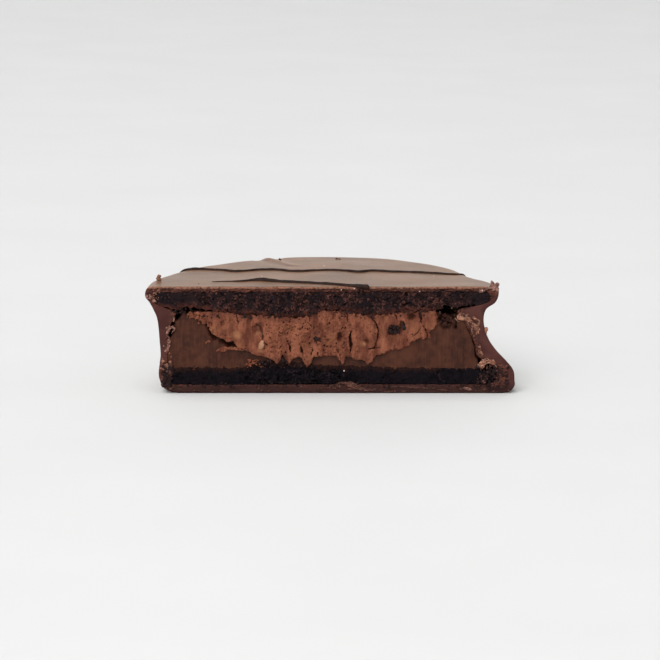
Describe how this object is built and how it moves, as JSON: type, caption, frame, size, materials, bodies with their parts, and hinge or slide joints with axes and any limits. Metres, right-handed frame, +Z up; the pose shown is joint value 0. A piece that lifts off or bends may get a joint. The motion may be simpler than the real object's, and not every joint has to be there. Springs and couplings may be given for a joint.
{
  "type": "alfajor half",
  "caption": "Half of a chocolate-coated alfajor, whose cut face shows cocoa biscuits round a dark filling with a light core, with drizzled lines on top.",
  "frame": {"origin": "on the surface that the half stands on, under the middle of its bounding box", "axes": "+Z up through the layers, +X along the cut towards the end with the flared foot, -Y out of the cut face"},
  "size_m": [0.0686, 0.0332, 0.021],
  "materials": {
    "chocolate_coat": "satin milk-dark chocolate",
    "cocoa_biscuit": "matt crumb, nearly black",
    "dark_filling": "smooth, knife-smeared",
    "light_filling": "matt, torn and finely pitted",
    "drizzle": "satin dark chocolate"
  },
  "bodies": {
    "root": {"coating": "chocolate_coat", "top_biscuit": "cocoa_biscuit", "bottom_biscuit": "cocoa_biscuit", "dark_filling": "dark_filling", "light_filling": "light_filling", "drizzle_back": "drizzle", "drizzle_front": "drizzle"}
  },
  "joints": []
}
